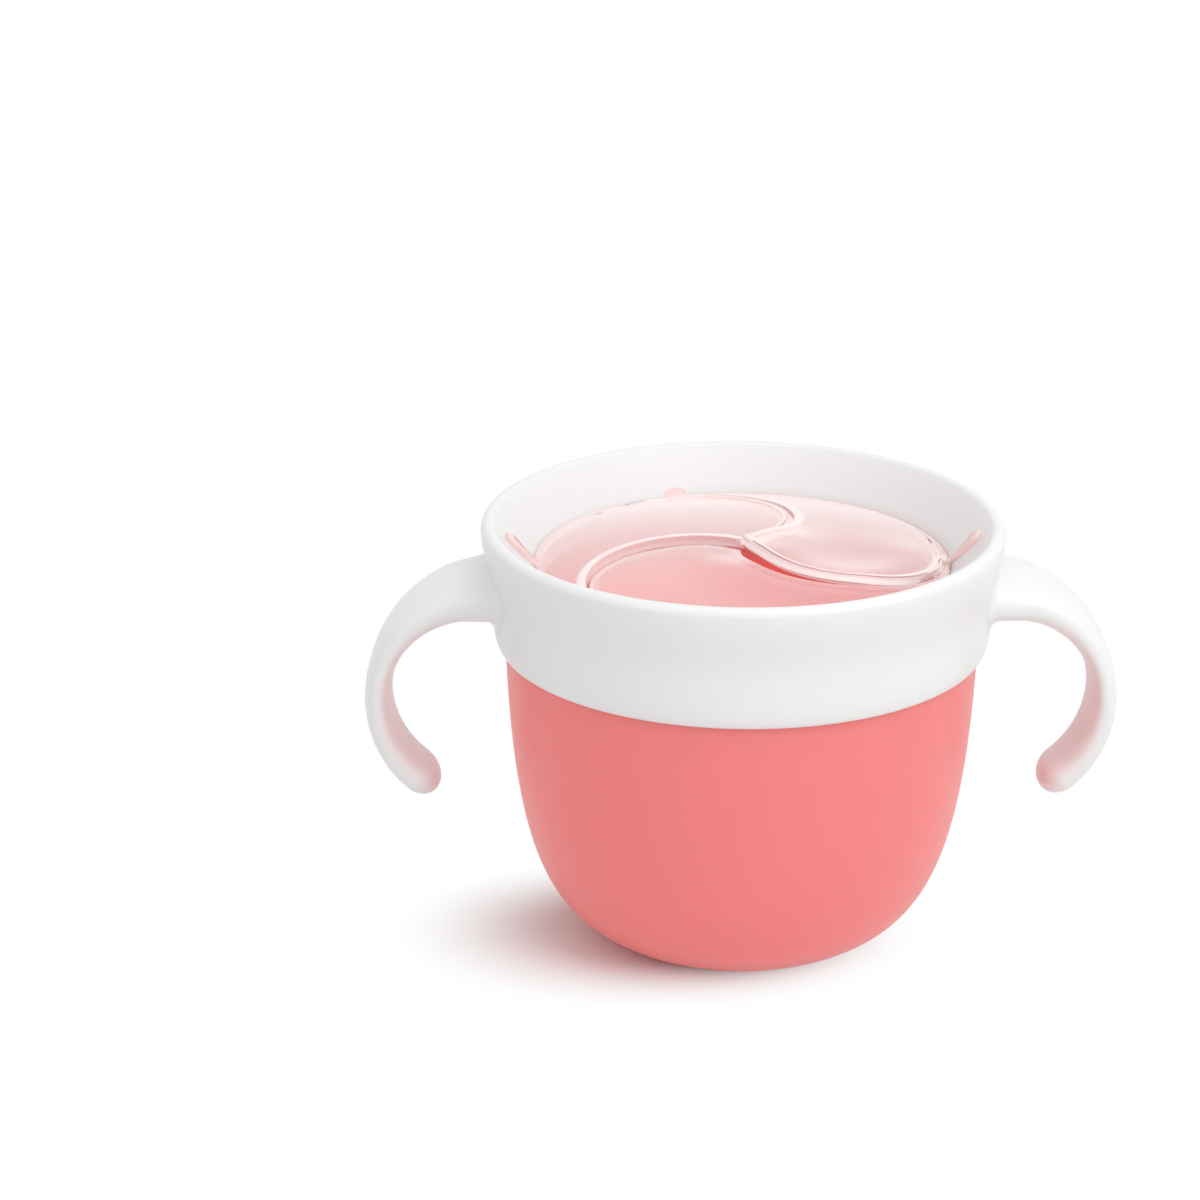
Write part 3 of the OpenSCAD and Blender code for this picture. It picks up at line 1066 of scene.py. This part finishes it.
# Each lamp's name, its power's setting, its width and its place; all aim at the cup's middle
LAMPS = (
    ("Key light", "key_power", 0.9, (0.68, -0.64, 0.75)),
    ("Fill light", "fill_power", 0.8, (-0.7, -0.6, 0.5)),
    ("Top light", "top_power", 0.9, (0.1, 0.0, 1.1)),
    ("Front light", "front_power", 0.9, (0.1, -1.3, 0.8)),
)
AIM = Vector((0, 0, 0.04))


def lamp(name, watts, size, place):
    data = bpy.data.lights.new(name, "AREA")
    data.energy = watts
    data.shape = "DISK"
    data.size = size
    light = bpy.data.objects.new(name, data)
    light.location = place
    light.rotation_euler = (AIM - Vector(place)).to_track_quat("-Z", "Y").to_euler()
    bpy.context.scene.collection.objects.link(light)


def seen_ray(tree, place):
    """1 on rays that show the background: from the camera, off gloss and through clear pieces."""
    x, y = place
    ray = add(tree, "ShaderNodeLightPath", place).outputs
    direct = maths(tree, "ADD", (x + 200, y), ray["Is Camera Ray"], ray["Is Glossy Ray"])
    through = ray["Is Transmission Ray"]
    return maths(tree, "ADD", (x + 400, y), direct, through, use_clamp=True)


def floor_material():
    """Pale floor that keeps the shadow near the cup and runs out into white."""
    material = bpy.data.materials.new("Studio floor")
    material.use_nodes = True
    tree = material.node_tree
    shader = tree.nodes["Principled BSDF"]
    shader.inputs["Base Color"].default_value = (0.81, 0.80, 0.795, 1)
    shader.inputs["Roughness"].default_value = 0.6
    shader.inputs["Specular IOR Level"].default_value = 0.2
    where = add(tree, "ShaderNodeTexCoord", (-900, 0))
    # Distance from the middle of the shadow, which reaches further to the sides
    shift = add(tree, "ShaderNodeVectorMath", (-800, 0), operation="ADD")
    feed(tree, shift.inputs[0], where.outputs["Object"])
    shift.inputs[1].default_value = (0.016, 0.007, 0)
    oval = add(tree, "ShaderNodeVectorMath", (-700, 100), operation="MULTIPLY")
    feed(tree, oval.inputs[0], shift.outputs["Vector"])
    oval.inputs[1].default_value = (0.667, 1, 1)
    far = add(tree, "ShaderNodeVectorMath", (-600, 0), operation="LENGTH")
    feed(tree, far.inputs[0], oval.outputs["Vector"])
    fade = add(tree, "ShaderNodeMapRange", (-500, 0), interpolation_type="SMOOTHSTEP")
    fade.inputs["From Min"].default_value = 0.012
    fade.inputs["From Max"].default_value = 0.034
    feed(tree, fade.inputs["Value"], far.outputs["Value"])
    white = add(tree, "ShaderNodeEmission", (-200, -300))
    white.inputs["Color"].default_value = (1, 1, 1, 1)
    seen = seen_ray(tree, (-900, -300))
    blend = add(tree, "ShaderNodeMixShader", (100, 0))
    feed(tree, blend.inputs[0], maths(tree, "MULTIPLY", (-200, -100), fade.outputs[0], seen))
    feed(tree, blend.inputs[1], shader.outputs[0])
    feed(tree, blend.inputs[2], white.outputs[0])
    feed(tree, tree.nodes["Material Output"].inputs["Surface"], blend.outputs[0])
    return material


class SNACK_OT_studio(bpy.types.Operator):
    """Set up the floor, the soft lights, the white room and the camera"""

    bl_idname = "snack.studio"
    bl_label = "Studio"
    bl_options = {"REGISTER", "UNDO"}

    def execute(self, context):
        studio = context.scene.snack_studio
        deselect()
        bpy.ops.mesh.primitive_plane_add(size=studio.floor_size)
        floor = context.object
        floor.name = "studio_floor"
        floor.data.materials.append(floor_material())
        for name, setting, size, place in LAMPS:
            lamp(name, getattr(studio, setting), size, place)
        world = bpy.data.worlds.new("White room")
        context.scene.world = world
        world.use_nodes = True
        tree = world.node_tree
        background = tree.nodes["Background"]
        background.inputs["Color"].default_value = (1, 1, 1, 1)
        strength = add(tree, "ShaderNodeMapRange", (-200, 0))
        strength.inputs["To Min"].default_value = studio.sky
        strength.inputs["To Max"].default_value = 1.0
        feed(tree, strength.inputs["Value"], seen_ray(tree, (-800, 0)))
        feed(tree, background.inputs["Strength"], strength.outputs[0])
        data = bpy.data.cameras.new("Photo camera")
        data.lens = studio.lens
        data.sensor_width = 36
        data.clip_start = 0.01
        data.clip_end = 50
        camera = bpy.data.objects.new("Photo camera", data)
        camera.location = studio.camera_place
        camera.rotation_euler = (studio.camera_pitch, 0, studio.camera_yaw)
        context.scene.collection.objects.link(camera)
        context.scene.camera = camera
        context.scene.view_settings.view_transform = "Standard"
        return {"FINISHED"}


OPERATORS = (SNACK_OT_bowl, SNACK_OT_collar, SNACK_OT_lid, SNACK_OT_studio)


class SNACK_PT_panel(bpy.types.Panel):
    """Lists the cup's pieces, with their sizes and colours"""

    bl_idname = "SNACK_PT_panel"
    bl_label = "Snack Cup"
    bl_space_type = "VIEW_3D"
    bl_region_type = "UI"
    bl_category = "Snack Cup"

    def draw(self, context):
        for operator in OPERATORS:
            self.layout.operator(operator.bl_idname)
        for name, group in SETTINGS.items():
            box = self.layout.box()
            box.label(text=group.__doc__)
            for key in group.__annotations__:
                box.prop(getattr(context.scene, name), key)


CLASSES = (*SETTINGS.values(), *OPERATORS, SNACK_PT_panel)


def register():
    for item in CLASSES:
        bpy.utils.register_class(item)
    for name, group in SETTINGS.items():
        setattr(bpy.types.Scene, name, PointerProperty(type=group))


def unregister():
    for name in SETTINGS:
        delattr(bpy.types.Scene, name)
    for item in reversed(CLASSES):
        bpy.utils.unregister_class(item)


def main():
    register()
    bpy.ops.snack.bowl()
    bpy.ops.snack.collar()
    bpy.ops.snack.lid()
    bpy.ops.snack.studio()


if __name__ == "__main__":
    main()
